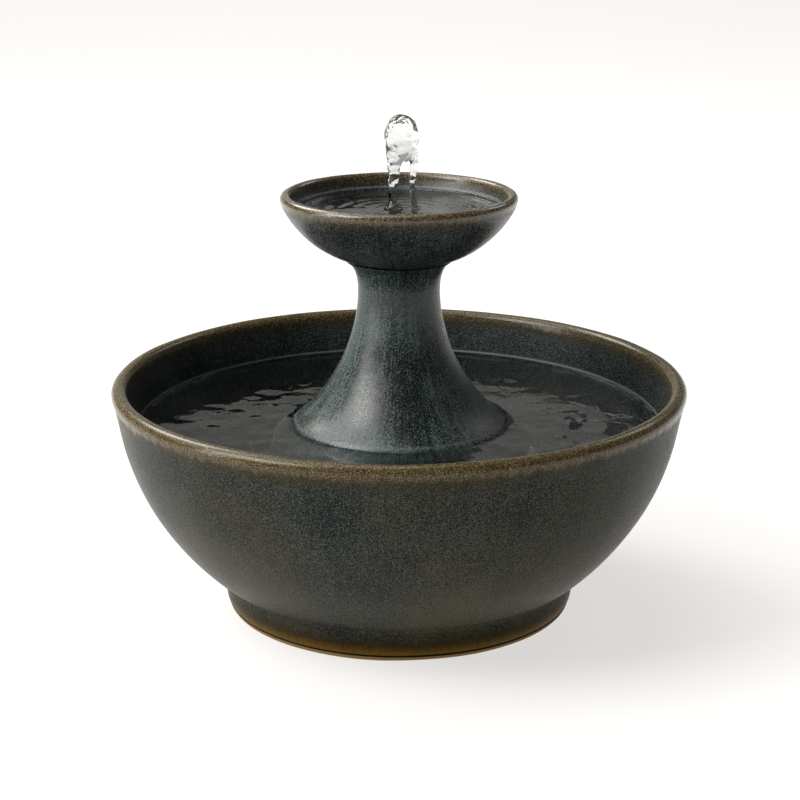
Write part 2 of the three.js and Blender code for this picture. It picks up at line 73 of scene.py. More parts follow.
# The jet, in millimetres. Its head is lobes: [x, y, depth under the top] and half sizes.
JET_HEAD = (
    ((1.4, 0, 11.4), (8.5, 6.4, 11.4)),
    ((-1.2, 0, 16.5), (5.0, 4.8, 9.0)),
    ((6.0, 0.3, 15.0), (3.9, 4.0, 8.8)),
)
# Its two ropes of water are rings: x, height over their start, and radius.
JET_STEM = (
    (-2.7, 0, 5.4), (-2.7, 1.2, 4.6), (-2.7, 2.8, 3.3), (-2.7, 5, 2.4), (-2.6, 8.5, 2.15),
    (-2.6, 13, 2.3), (-2.6, 18.5, 2.7), (-2.2, 22.5, 3.5), (-1.6, 26, 4.5),
)
JET_LEG = (
    (7.8, 0, 2.6), (7.7, 1.4, 1.9), (7.4, 3.4, 1.5), (6.5, 8, 1.2),
    (6.3, 13, 1.3), (7.0, 18.5, 1.8), (7.2, 22.5, 2.1), (7.2, 27, 2.6),
)

# Small touches of colour in the glaze, with two marks of painted light: painted shade in the foot's groove, and a
# painted highlight in the pale line at the water.
INNER_SHEEN = (0.88, 1.0, 0.96, 1)
OUTER_SHEEN = (1.0, 0.93, 0.66, 1)
PINHOLE = (0.014, 0.010, 0.005, 1)
DARK_HONEY = (0.020, 0.012, 0.0025, 1)
PALE_HONEY = (0.112, 0.060, 0.0050, 1)
HONEY_PIT = (0.03, 0.017, 0.006, 1)
DARK_CLAY = (0.16, 0.095, 0.034, 1)
# Painted shade in the foot's turned groove.
GROOVE_PAINTED_SHADE = (0.008, 0.005, 0.002, 1)
# Partly lime, partly painted highlight: the thin pale line just above the water.
LIME_AND_PAINTED_HIGHLIGHT = (0.20, 0.225, 0.215, 1)

# Colours of the studio's light.
DAYLIGHT = (0.985, 0.99, 1.0, 1)
WARM_WHITE = (1.0, 0.975, 0.94)
SOFT_WHITE = (1.0, 0.985, 0.96)
OVERHEAD_WHITE = (1.0, 0.99, 0.975)
BACK_WHITE = (1.0, 1.0, 0.91)
GLOW_WHITE = (1.0, 0.985, 0.965, 1)

WATER_IOR = 1.333
JET_TINT = (0.87, 0.88, 0.875, 1)
# Painted refraction: the dark brown that the stem turns to low down stands in for the pot seen through the water.
PAINTED_POT_REFRACTION = (0.50, 0.47, 0.40, 1)


def length(name, description, default):
    return FloatProperty(
        name=name, description=description, default=default, min=0.0, subtype="DISTANCE", unit="LENGTH"
    )


def colour(name, description, default):
    return FloatVectorProperty(
        name=name, description=description, default=default, size=4, min=0.0, max=1.0, subtype="COLOR"
    )


def light(name, description, default, unit="NONE"):
    return FloatProperty(name=name, description=description, default=default, min=0.0, unit=unit)


class FountainPottery(bpy.types.PropertyGroup):
    """Sizes of the thrown stoneware"""

    basin_radius: length("Basin radius", "Outside radius of the basin's rim", BASIN_HIGH.x)
    basin_height: length("Basin height", "Height of the basin's rim above the table", BASIN_HIGH.z)
    basin_wall: length("Basin wall", "Thickness of the basin's rim", 8 * MM)
    foot_radius: length("Foot radius", "Outside radius of the basin's foot ring", 86.8 * MM)
    bowl_radius: length("Bowl radius", "Outside radius of the upper bowl's rim", BOWL_HIGH.x)
    bowl_height: length("Bowl height", "Height of the upper bowl's rim above the table", BOWL_HIGH.z)
    bowl_wall: length("Bowl wall", "Thickness of the upper bowl's rim", 5.4 * MM)
    neck_radius: length("Neck radius", "Outside radius of the pedestal's neck", 19.7 * MM)
    wobble: length("Hand wobble", "How far the thrown surface strays from round", 0.35 * MM)
    sides: IntProperty(
        name="Sides", description="Faces round the pottery before smoothing", default=160, min=24, max=240
    )


class FountainGlaze(bpy.types.PropertyGroup):
    """Colours of the reactive glaze and the clay"""

    deep: colour("Deep glaze", "Where the glaze runs thick", (0.0045, 0.0085, 0.0080, 1))
    slate: colour("Slate flecks", "The blue-grey crystals that float in the glaze", (0.080, 0.092, 0.091, 1))
    frost: colour("Frost flecks", "The paler crystals on the pedestal", (0.095, 0.142, 0.136, 1))
    moss: colour("Moss flecks", "The crystals where iron in the clay shows through", (0.080, 0.069, 0.043, 1))
    umber: colour("Umber", "Iron in the clay, under thin glaze", (0.030, 0.0250, 0.0145, 1))
    olive: colour("Olive break", "Thin glaze on a rim", (0.026, 0.0180, 0.0056, 1))
    gold: colour("Gold break", "The lightest specks on a rim", (0.270, 0.200, 0.090, 1))
    clay: colour("Bare clay", "The unglazed foot", (0.30, 0.20, 0.095, 1))


class FountainWater(bpy.types.PropertyGroup):
    """The water's level, ripples and tint"""

    basin_level: length("Basin level", "Height of the water in the basin", BASIN_WATER_HIGH.z)
    bowl_level: length("Bowl level", "Height of the water in the upper bowl", BOWL_WATER_HIGH.z)
    ripple: length("Ripple", "Height of the ripples in the basin", 0.9 * MM)
    meniscus: length("Meniscus", "How far the water climbs a wall", 1.3 * MM)
    tint: colour("Tint", "Colour of the water", (0.93, 0.96, 0.96, 1))


class FountainStudio(bpy.types.PropertyGroup):
    """The floor, the lights and the camera"""

    floor: colour("Floor", "Colour of the floor", (0.40, 0.395, 0.385, 1))
    glow: light("Floor glow", "Light that comes through the floor", 0.655)
    wall: light("Wall", "Strength of the light from the pale wall all round", 0.85)
    sky: light("Sky", "Strength of the even light from above", 0.10)
    key: light("Key light", "Power of the softbox at the left", 26.0, "POWER")
    top: light("Top light", "Strength of the broad light overhead", 1.7)
    side: light("Side light", "Power of the softbox behind at the left", 15.0, "POWER")
    back: light("Back light", "Power of the softbox behind", 4.6, "POWER")
    lens: FloatProperty(
        name="Lens", description="Focal length of the camera", default=89.8, min=1.0, unit="CAMERA"
    )


# ---------- materials ----------


class Finish:
    """A material's shader nodes, added and wired by short calls."""

    def __init__(self, name):
        self.material = bpy.data.materials.new(name)
        self.material.use_nodes = True
        self.tree = self.material.node_tree
        self.shader = self.tree.nodes["Principled BSDF"]
        self.place = self.add("TexCoord").outputs["Object"]

    def add(self, kind, inputs=None, **settings):
        node = self.tree.nodes.new("ShaderNode" + kind)
        for name, value in settings.items():
            setattr(node, name, value)
        for name, value in (inputs or {}).items():
            self.feed(node.inputs[name], value)
        return node

    def feed(self, socket, value):
        if isinstance(value, bpy.types.NodeSocket):
            self.tree.links.new(value, socket)
        else:
            socket.default_value = value

    def set(self, **values):
        """Feeds the shader's sockets, named with underscores for spaces."""
        for name, value in values.items():
            self.feed(self.shader.inputs[name.replace("_", " ")], value)

    def noise(self, vector, scale, detail=2.0, roughness=0.5, distortion=0.0):
        inputs = {"Vector": vector, "Scale": scale, "Detail": detail}
        inputs.update({"Roughness": roughness, "Distortion": distortion})
        return self.add("TexNoise", inputs).outputs[0]

    def math(self, operation, a, b):
        return self.add("Math", {0: a, 1: b}, operation=operation).outputs[0]

    def plus(self, a, b):
        return self.math("ADD", a, b)

    def minus(self, a, b):
        return self.math("SUBTRACT", a, b)

    def times(self, a, b):
        return self.math("MULTIPLY", a, b)

    def length(self, x, y):
        flat = self.add("CombineXYZ", {0: x, 1: y}).outputs[0]
        return self.add("VectorMath", {0: flat}, operation="LENGTH").outputs[1]

    def between(self, value, low, high, to_low=0.0, to_high=1.0):
        """Eases value from to_low to to_high as it goes from low to high."""
        inputs = {"Value": value, "From Min": low, "From Max": high, "To Min": to_low, "To Max": to_high}
        return self.add("MapRange", inputs, interpolation_type="SMOOTHSTEP").outputs[0]

    def mix(self, share, a, b):
        node = self.add("Mix", data_type="RGBA")
        for index, value in ((0, share), (6, a), (7, b)):
            self.feed(node.inputs[index], value)
        return node.outputs[2]

    def bump(self, height, depth, strength=1.0, under=None):
        """A bump of that depth in metres, on top of the bump under it."""
        inputs = {"Height": height, "Distance": depth, "Strength": strength}
        if under:
            inputs["Normal"] = under
        return self.add("Bump", inputs).outputs[0]

    def axes(self):
        parts = self.add("SeparateXYZ", {0: self.place})
        return parts.outputs[0], parts.outputs[1], parts.outputs[2]

    def around(self, rise):
        """Coordinates that follow a round pot: one turn about the middle, and the height times rise."""
        x, y, z = self.axes()
        flat = self.add("CombineXYZ", {0: x, 1: y}).outputs[0]
        turn = self.add("VectorMath", {0: flat}, operation="NORMALIZE").outputs[0]
        lift = self.add("CombineXYZ", {2: self.times(z, rise)}).outputs[0]
        return self.add("VectorMath", {0: turn, 1: lift}, operation="ADD").outputs[0]


def glaze_finish(
    name, rim, band, warmth, crystal_tone, crowding, streaks, fineness, gloss, sandiness,
    lip_radius=0.0, foot=None, lime_and_highlight_line=None, shell=None,
):
    """Reactive stoneware glaze: crystals over a dark ground, thin and gold on the rim.

    rim is the rim's height, lip_radius its inner edge, and band how far the thin glaze runs down from it.
    warmth is the share of iron in the wall. crystal_tone is the crystals' colour, crowding how unevenly they gather,
    streaks the share of runs in that, and fineness their scale. gloss is the specular level, and sandiness the depth
    of the fine relief. foot is how high the honey glaze climbs from bare clay. lime_and_highlight_line is the height,
    reach and strength of the thin pale line just above the water, partly lime and partly a painted highlight of the
    water's edge. shell is the centre's radius and height, and the radius, of a round wall whose inside is free of
    iron.
    """
    tone = bpy.context.scene.fountain_glaze
    made = Finish(name)
    x, y, z = made.axes()
    radius = made.length(x, y)
    crystals = made.noise(made.place, fineness, 3.0, 0.66)
    grains = made.noise(made.place, 2100, 2.0, 0.6)
    drift = made.noise(made.place, 24, 4.0, 0.6)
    runs = made.noise(made.around(1.1), 34, 4.0, 0.62)
    sand = made.noise(made.around(15), 78, 4.0, 0.68)
    pits = made.between(made.noise(made.place, 520, 2.0, 0.7), 0.60, 0.70)
    # Iron gathers low on the wall.
    iron = made.plus(made.noise(made.place, 13, 4.0, 0.6), made.times(made.minus(rim * 0.55, z), 2.0))

    # The crystals crowd together along the runs and thin out between them.
    crowd = made.plus(made.times(drift, 1 - streaks), made.times(runs, streaks))
    threshold = made.between(crowd, 0.34, 0.66, 0.515 + 0.09 * crowding, 0.515 - 0.08 * crowding)
    fleck = made.between(made.minus(crystals, threshold), -0.055, 0.095)
    if shell:
        centre_radius, centre_height, wall = shell
        from_centre = made.length(made.minus(radius, centre_radius), made.minus(z, centre_height))
        outside = made.between(from_centre, wall - 2 * MM, wall + 2 * MM)
        warmth = made.times(outside, warmth)
        made.set(Specular_Tint=made.mix(outside, INNER_SHEEN, OUTER_SHEEN))
    ground = made.mix(made.times(made.between(iron, 0.34, 0.74), warmth), tone.deep, tone.umber)
    crystal = made.mix(made.times(made.between(iron, 0.30, 0.72), warmth), crystal_tone, tone.moss)
    glaze = made.mix(fleck, ground, crystal)

    # On the rim the glaze is thin: an umber fringe, then olive with gold specks.
    waver = made.minus(runs, 0.5)
    inside = made.between(radius, lip_radius + MM, lip_radius - 1.5 * MM)
    ragged = made.minus(made.plus(z, made.times(waver, band * 1.2)), made.times(inside, band * 0.55))
    fringe = made.between(ragged, rim - band * 2.1, rim - band * 0.9, 0.0, 0.75)
    broken = made.between(ragged, rim - band * 1.15, rim - band * 0.55)
    mottle = made.plus(made.times(grains, 0.5), made.times(crystals, 0.5))
    break_tone = made.mix(made.between(mottle, 0.47, 0.64), tone.olive, tone.gold)
    break_tone = made.mix(made.times(pits, 0.7), break_tone, PINHOLE)
    glaze = made.mix(fringe, glaze, made.mix(made.times(fleck, 0.6), tone.umber, tone.moss))
    glaze = made.mix(broken, glaze, break_tone)

    rough = made.minus(made.between(fleck, 0.0, 1.0, 0.26, 0.42), made.times(broken, 0.12))
    if foot:
        # Down the foot ring the glaze warms to honey and ends above the bare clay, where the turned groove is painted
        # near-black: painted shade in the groove.
        low = made.plus(z, made.times(waver, 5 * MM))
        honey = made.mix(made.between(low, foot * 0.62, foot * 0.20), DARK_HONEY, PALE_HONEY)
        honey = made.mix(made.times(pits, 0.6), honey, HONEY_PIT)
        glaze = made.mix(made.between(low, foot * 0.84, foot * 0.40), glaze, honey)
        bare = made.between(z, 2.5 * MM, 2.1 * MM)
        glaze = made.mix(bare, glaze, made.mix(grains, tone.clay, DARK_CLAY))
        # Painted shade: the turned groove between the honey glaze and the bare clay is coloured near-black.
        edge = made.times(made.between(z, 3.5 * MM, 3.1 * MM), made.between(z, 2.1 * MM, 2.5 * MM))
        glaze = made.mix(edge, glaze, GROOVE_PAINTED_SHADE)
        rough = made.plus(rough, made.times(bare, 0.4))
    if lime_and_highlight_line:
        # A thin pale line just above the water: partly lime that dries there, partly a painted highlight of the
        # water's edge.
        level, reach, strength = lime_and_highlight_line
        over = made.between(z, level + 0.8 * MM, level + 1.2 * MM)
        under = made.between(z, level + 2.4 * MM, level + 1.7 * MM)
        line = made.times(made.times(over, under), made.between(radius, reach + MM, reach))
        line = made.times(line, made.between(grains, 0.30, 0.55, strength * 0.4, strength))
        glaze = made.mix(line, glaze, LIME_AND_PAINTED_HIGHLIGHT)

    throwing_rings = made.noise(made.add("CombineXYZ", {2: z}).outputs[0], 210, 2.0, 0.5)
    relief = made.bump(throwing_rings, 0.35 * MM, 0.5)
    relief = made.bump(drift, 1.2 * MM, 0.35, relief)
    relief = made.bump(sand, sandiness, made.between(broken, 0.0, 1.0, 0.7, 0.15), relief)
    relief = made.bump(fleck, 0.05 * MM, 0.6, relief)
    made.set(Base_Color=glaze, Roughness=rough, Normal=made.bump(pits, -0.06 * MM, 0.5, relief))
    made.set(Specular_IOR_Level=gloss, Coat_Weight=made.times(broken, 0.5), Coat_Roughness=0.22)
    return made.material


def clear_water(made, tint, surface):
    made.set(Base_Color=tint, Normal=surface, Roughness=0.0, IOR=WATER_IOR, Transmission_Weight=1.0)
    return made.material


def water_finish(name, chop, ring_spacing=0.0, depth=0.0):
    """Standing water with its small chop. Rings of that depth spread from the middle if ring_spacing is given."""
    made = Finish(name)
    surface = made.bump(made.noise(made.place, 95, 2.0, 0.45, 0.4), chop, 0.35)
    if ring_spacing:
        inputs = {"Vector": made.place, "Scale": math.pi / (10 * ring_spacing)}
        inputs.update({"Distortion": 2.2, "Detail": 1.0, "Detail Scale": 1.0})
        rings = made.add("TexWave", inputs, wave_type="RINGS", rings_direction="Z").outputs[1]
        surface = made.bump(rings, depth, 1.0, surface)
    return clear_water(made, tuple(bpy.context.scene.fountain_water.tint), surface)


def jet_finish():
    """Falling water: drawn out streaks, and low in the stem a painted refraction: the tint turns dark brown there,
    standing in for the pot seen through the water.
    """
    made = Finish("jet_water")
    x, y, z = made.axes()
    falling = made.add("CombineXYZ", {0: x, 1: y, 2: made.times(z, 0.3)}).outputs[0]
    streaks = made.bump(made.noise(falling, 330, 2.0, 0.5, 0.5), 1.2 * MM, 0.75)
    level = bpy.context.scene.fountain_water.bowl_level
    # Painted refraction: low in the stem the tint turns dark brown. It stands in for the pot seen through the water
    # and is not the water's own colour.
    stem = made.between(z, level + 13 * MM, level + 2 * MM)
    return clear_water(made, made.mix(stem, JET_TINT, PAINTED_POT_REFRACTION), streaks)


def plastic_finish(name, tone, worn, roughness=0.42, grain=1500):
    """Moulded plastic: a fine spark-eroded grain, faint flow marks and rubbed high spots."""
    made = Finish(name)
    sparkle = made.noise(made.place, grain, 3.0, 0.6)
    flow = made.noise(made.place, 45, 3.0, 0.5, 0.8)
    scuffs = made.between(made.noise(made.place, 160, 4.0, 0.7, 1.5), 0.58, 0.70)
    shade = made.mix(made.between(flow, 0.35, 0.65, 0.0, 0.35), tone, worn)
    wear = made.plus(flow, made.times(scuffs, 0.4))
    made.set(
        Base_Color=made.mix(made.times(scuffs, 0.3), shade, worn),
        Roughness=made.between(wear, 0.3, 1.0, roughness - 0.06, roughness + 0.16),
        Normal=made.bump(sparkle, 0.04 * MM, 0.5),
        Specular_IOR_Level=0.5,
    )
    return made.material


def rubber_finish():
    """Black rubber with a bloom of pale dust."""
    made = Finish("black_rubber")
    dust = made.between(made.noise(made.place, 120, 5.0, 0.7), 0.48, 0.72)
    made.set(
        Base_Color=made.mix(dust, (0.012, 0.012, 0.012, 1), (0.035, 0.034, 0.032, 1)),
        Roughness=made.between(dust, 0.0, 1.0, 0.62, 0.85),
        Normal=made.bump(made.noise(made.place, 1900, 2.0), 0.03 * MM, 0.4),
        Specular_IOR_Level=0.35,
    )
    return made.material


def vinyl_finish():
    """Clear vinyl tube with a slight green cast and a haze of lime."""
    made = Finish("clear_vinyl")
    haze = made.between(made.noise(made.place, 130, 4.0, 0.65), 0.45, 0.75)
    made.set(
        Base_Color=made.mix(haze, (0.80, 0.88, 0.86, 1), (0.86, 0.86, 0.80, 1)),
        Roughness=made.between(haze, 0.0, 1.0, 0.06, 0.32),
        Normal=made.bump(made.noise(made.place, 300, 2.0), 0.06 * MM, 0.3),
        IOR=1.5,
        Transmission_Weight=0.85,
    )
    return made.material


def foam_finish():
    """Open-cell filter foam, with its holes painted near-black: painted shade in the open cells."""
    made = Finish("filter_foam")
    cells = made.add("TexVoronoi", {"Vector": made.place, "Scale": 900}, feature="F1").outputs[0]
    holes_painted_shade = made.between(cells, 0.25, 0.6)
    # The holes are painted darker than the foam: painted shade in the cells.
    made.set(
        Base_Color=made.mix(holes_painted_shade, (0.050, 0.054, 0.056, 1), (0.006, 0.007, 0.007, 1)),
        Roughness=0.95,
        Normal=made.bump(holes_painted_shade, -0.5 * MM, 1.0),
        Specular_IOR_Level=0.2,
    )
    return made.material


def lamination_finish():
    """Stacked steel stampings: thin sheets along the shaft, with light rust at their edges."""
    made = Finish("steel_laminations")
    y = made.axes()[1]
    half_sheet = 0.25 * MM
    edge = made.between(made.math("PINGPONG", y, half_sheet), 0.03 * MM, 0.10 * MM)
    rust = made.between(made.noise(made.place, 220, 4.0, 0.7), 0.55, 0.70)
    steel = made.mix(edge, (0.06, 0.06, 0.06, 1), (0.36, 0.37, 0.38, 1))
    made.set(
        Base_Color=made.mix(made.times(rust, 0.7), steel, (0.14, 0.055, 0.02, 1)),
        Metallic=made.between(rust, 0.0, 1.0, 0.95, 0.3),
        Roughness=made.between(rust, 0.0, 1.0, 0.34, 0.8),
        Normal=made.bump(edge, 0.08 * MM, 0.7),
    )
    return made.material


def copper_finish():
    """Enamelled copper wire, wound side by side along the coil, each wire painted dark down its sides and bright on
    its crown: painted shade in the valleys between wires.
    """
    made = Finish("enamelled_copper")
    x = made.axes()[0]
    wire_radius = 0.14 * MM
    crown_and_painted_shade = made.between(made.math("PINGPONG", x, wire_radius), 0.0, wire_radius)
    lie = made.noise(made.place, 400, 3.0, 0.6)
    bright = made.mix(lie, (0.55, 0.19, 0.07, 1), (0.42, 0.12, 0.045, 1))
    # Painted shade: each wire's colour darkens to dark brown towards the valleys between the wires.
    made.set(
        Base_Color=made.mix(crown_and_painted_shade, (0.16, 0.035, 0.012, 1), bright),
        Metallic=0.9,
        Roughness=made.between(lie, 0.3, 0.7, 0.22, 0.38),
        Normal=made.bump(crown_and_painted_shade, 0.1 * MM, 0.9),
        Coat_Weight=0.6,
        Coat_Roughness=0.12,
    )
    return made.material


def mineral_finish(name, tone, fleck_tone, roughness, scale):
    """Pressed and fired powder: ferrite, fine ceramic and cast resin all show their grain this way."""
    made = Finish(name)
    grain = made.noise(made.place, scale, 4.0, 0.7)
    pits = made.between(made.noise(made.place, scale * 0.4, 2.0, 0.6), 0.62, 0.74)
    rough = made.between(grain, 0.3, 0.7, roughness - 0.05, roughness + 0.08)
    made.set(
        Base_Color=made.mix(made.between(grain, 0.45, 0.7), tone, fleck_tone),
        Roughness=made.plus(rough, made.times(pits, 0.15)),
        Normal=made.bump(pits, -0.05 * MM, 0.5),
    )
    return made.material


def floor_finish(tone, glow):
    """A pale sweep, lit from below like a light table so that shadows stay soft and light."""
    made = Finish("studio_floor")
    cloud = made.noise(made.place, 3.0, 3.0, 0.5)
    pale = tuple(min(1.0, c * 1.015) for c in tone[:3]) + (1,)
    made.set(
        Base_Color=made.mix(cloud, tuple(tone), pale),
        Roughness=made.between(cloud, 0.3, 0.7, 0.78, 0.86),
        Normal=made.bump(made.noise(made.place, 700, 2.0), 0.05 * MM, 0.1),
        Specular_IOR_Level=0.1,
        Emission_Color=GLOW_WHITE,
        Emission_Strength=glow,
    )
    return made.material


# ---------- modelling ----------


def clear_selection():
    if bpy.context.mode != "OBJECT":
        bpy.ops.object.mode_set(mode="OBJECT")
    bpy.ops.object.select_all(action="DESELECT")


def pick(piece):
    """Selects one piece only and makes it the active one."""
    clear_selection()
    piece.select_set(True)
    bpy.context.view_layer.objects.active = piece


def settle(piece, angle=40):
    """Puts the piece's place in its mesh and shades it smooth."""
    pick(piece)
    bpy.ops.object.transform_apply(location=True, rotation=True, scale=True)
    bpy.ops.object.shade_smooth_by_angle(angle=math.radians(angle))


def finish_modifiers(piece):
    pick(piece)
    for modifier in list(piece.modifiers):
        bpy.ops.object.modifier_apply(modifier=modifier.name)


def subdivide(piece, levels=1):
    modifier = piece.modifiers.new("Rounding", "SUBSURF")
    modifier.levels = modifier.render_levels = levels
    finish_modifiers(piece)


def roughen(piece, texture_name, size, strength, group=""):
    """Moves the surface in and out by up to half of strength, in soft lumps of that size."""
    texture = bpy.data.textures.new(texture_name, "CLOUDS")
    texture.noise_scale = size
    texture.noise_depth = 1
    modifier = piece.modifiers.new(texture_name, "DISPLACE")
    modifier.texture = texture
    modifier.texture_coords = "LOCAL"
    modifier.mid_level = 0.5
    modifier.strength = strength
    modifier.vertex_group = group
    finish_modifiers(piece)


def dress(piece, material, body, slot, *nodes):
    """Gives a finished piece its material and its body, and hides the CAD nodes it stands for."""
    piece.data.materials.clear()
    piece.data.materials.append(material)
    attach(piece, body)
    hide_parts(*nodes)


def paint(material, *nodes):
    """Gives nodes that are shown as they are their material."""
    for node in nodes:
        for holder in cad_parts[node].material_slots:
            holder.material = material


def select_edges(piece, wanted):
    """Selects the edges whose two end points pass the test, and nothing else."""
    pick(piece)
    bpy.ops.object.mode_set(mode="EDIT")
    bpy.ops.mesh.select_all(action="DESELECT")
    bpy.ops.object.mode_set(mode="OBJECT")
    for edge in piece.data.edges:
        edge.select = wanted([piece.data.vertices[i].co for i in edge.vertices])


def throw(name, outline, sides, closed=False):
    """Throws a pot: a ring is pulled through the [radius, height] points of its outline, in millimetres.

    A closed outline ends where it began. An open one starts and ends near the middle, and is closed there.
    """
    clear_selection()
    radius, height = outline[0]
    fill = "NOTHING" if closed else "TRIFAN"
    start = (0, 0, height * MM)
    bpy.ops.mesh.primitive_circle_add(vertices=sides, radius=radius * MM, fill_type=fill, location=start)
    pot = bpy.context.object
    pot.name = pot.data.name = name
    bpy.ops.object.transform_apply(location=True, rotation=False, scale=False)
    select_edges(pot, lambda ends: all(end.xy.length > radius * MM / 2 for end in ends))
    bpy.ops.object.mode_set(mode="EDIT")
    for new_radius, new_height in outline[1:]:
        rise = (new_height - height) * MM
        bpy.ops.mesh.extrude_edges_move(TRANSFORM_OT_translate={"value": (0, 0, rise)})
        pull = new_radius / radius
        bpy.ops.transform.resize(value=(pull, pull, 1), center_override=(0, 0, new_height * MM))
        radius, height = new_radius, new_height
    if not closed:
        bpy.ops.mesh.merge(type="COLLAPSE")
    bpy.ops.mesh.select_all(action="SELECT")
    bpy.ops.mesh.remove_doubles(threshold=0.002 * MM)
    bpy.ops.mesh.normals_make_consistent(inside=False)
    bpy.ops.object.mode_set(mode="OBJECT")
    return pot


def arc(centre, radius, low, high, steps):
    """Points of an arc about [radius, height] centre, from one height to another."""
    start, end = (math.asin((h - centre[1]) / radius) for h in (low, high))
    angles = [start + (end - start) * i / steps for i in range(steps + 1)]
    return [(centre[0] + radius * math.cos(a), centre[1] + radius * math.sin(a)) for a in angles]


def lip(outside, wall, top, rise, steps=10):
    """A rounded rim from the outside over the top to the inside."""
    angles = [math.pi * i / steps for i in range(steps + 1)]
    middle = outside - wall / 2
    return [(middle + wall / 2 * math.cos(a), top - rise + rise * math.sin(a)) for a in angles]


def smooth_through(points, steps):
    """A curve through the points, with that many steps between each two."""
    curve = []
    padded = [points[0], *points, points[-1]]
    for corners in zip(padded, padded[1:], padded[2:], padded[3:]):
        for i in range(steps):
            t = i / steps
            point = []
            for a, b, c, d in zip(*corners):
                square, cube = 2 * a - 5 * b + 4 * c - d, 3 * b - a - 3 * c + d
                point.append(0.5 * (2 * b + (c - a) * t + square * t**2 + cube * t**3))
            curve.append(tuple(point))
    return [*curve, points[-1]]


def pedestal_outside():
    """The trumpet's outline from its skirt up to its lip, in millimetres."""
    neck = bpy.context.scene.fountain_pottery.neck_radius / MM
    points = [
        (64, 48), (63, 66), (60, 79), (53.2, 91), (43.3, 100), (34.1, 112), (26.6, 126),
        (neck + 2.3, 140), (neck + 0.4, 151), (neck + 0.3, 162), (neck + 2.4, 169), (25.0, 171.8),
    ]
    return smooth_through(points, 3)


# ---------- operators ----------


class MESH_OT_fountain_basin(bpy.types.Operator):
    """Throw the basin with its foot ring, wall and rolled rim"""

    bl_idname = "mesh.fountain_basin"
    bl_label = "Basin"

    def execute(self, context):
        size = context.scene.fountain_pottery
        radius, top, wall = size.basin_radius / MM, size.basin_height / MM, size.basin_wall / MM
        foot = size.foot_radius / MM
        inner = radius - wall
        foot_ring = [
            (-11.2, 7), (-9.2, 6.4), (-8.5, 4.8), (-8.4, 1.5), (-7.8, 0.4), (-6.6, 0), (-4.6, 0), (-3.0, 0),
            (-2.2, 0.35), (-1.5, 1.3), (-1.15, 2.2), (-1.55, 2.55), (-1.6, 2.95), (-0.95, 3.3), (-0.4, 4.4),
            (0, 6.5), (0.1, 9), (-0.2, 11.5), (-0.7, 13.6), (-0.6, 15.2), (0.5, 16.5), (2.6, 17.5),
        ]
        outline = [
            (0.6, 7), (30, 7), (60, 7),
            *[(foot + out, height) for out, height in foot_ring],
            *arc(BASIN_CENTRE, BASIN_OUTER_ARC, 18.6, 97, 17),
            (radius - 2.1, 102), (radius - 1.1, 106), (radius - 0.35, 108.6),
            *lip(radius, wall, top, 3.9),
            (inner - 0.7, 107.6), (inner - 1.8, 104), (inner - 3.0, 100), (inner - 4.0, 95.5),
            *arc(BASIN_CENTRE, BASIN_INNER_ARC, 91.5, 17, 14),
            (76, 15.1), (66, 15), (40, 15), (0.6, 15),
        ]
        basin = throw("thrown_basin", outline, size.sides)
        subdivide(basin)
        roughen(basin, "basin_wobble", 45 * MM, size.wobble * 2)
        settle(basin)
        middle_of_wall = 121.7 * MM
        glaze = glaze_finish(
            "basin_glaze", rim=size.basin_height, band=7.4 * MM, warmth=0.9,
            crystal_tone=context.scene.fountain_glaze.slate, crowding=0.3, streaks=0.25, fineness=1700,
            gloss=0.06, sandiness=0.50 * MM, lip_radius=size.basin_radius - size.basin_wall, foot=16 * MM,
            lime_and_highlight_line=(context.scene.fountain_water.basin_level, 129 * MM, 0.85),
            shell=(BASIN_CENTRE[0] * MM, BASIN_CENTRE[1] * MM, middle_of_wall),
        )
        dress(basin, glaze, "base", "glaze", "basin")
        return {"FINISHED"}


